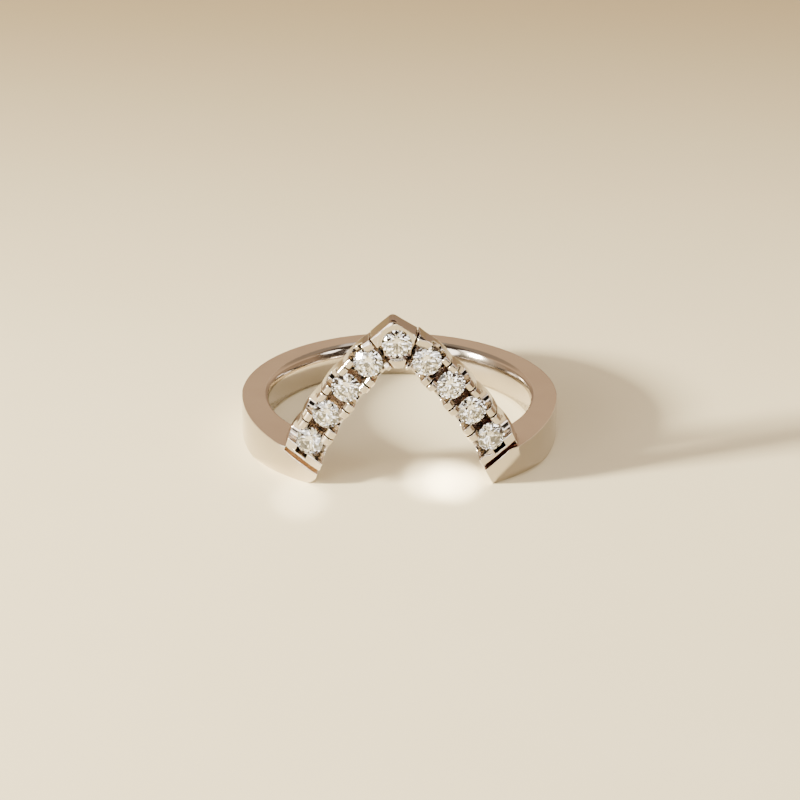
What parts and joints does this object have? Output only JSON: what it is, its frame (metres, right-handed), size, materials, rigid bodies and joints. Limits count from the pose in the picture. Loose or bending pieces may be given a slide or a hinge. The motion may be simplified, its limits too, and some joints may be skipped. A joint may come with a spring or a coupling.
{
  "type": "chevron ring",
  "caption": "Polished white-metal finger ring whose band turns up into a raised V of split-prong settings with round clear stones, lying on its side.",
  "frame": {"origin": "in the middle of the finger hole: on its axis and halfway along the band's width", "axes": "+Z along the finger, upwards as the ring lies; the V is at the front, towards -Y, and rises along +Z; +X is to the right of someone who faces the V"},
  "size_m": [0.0198, 0.0196, 0.0112],
  "materials": {
    "white_gold": "polished white gold",
    "diamond": "cut and polished clear stone"
  },
  "bodies": {
    "root": {"band": "white_gold", "stone_top": "diamond", "stone_right_1": "diamond", "stone_right_2": "diamond", "stone_right_3": "diamond", "stone_right_4": "diamond", "stone_left_1": "diamond", "stone_left_2": "diamond", "stone_left_3": "diamond", "stone_left_4": "diamond"}
  },
  "joints": []
}
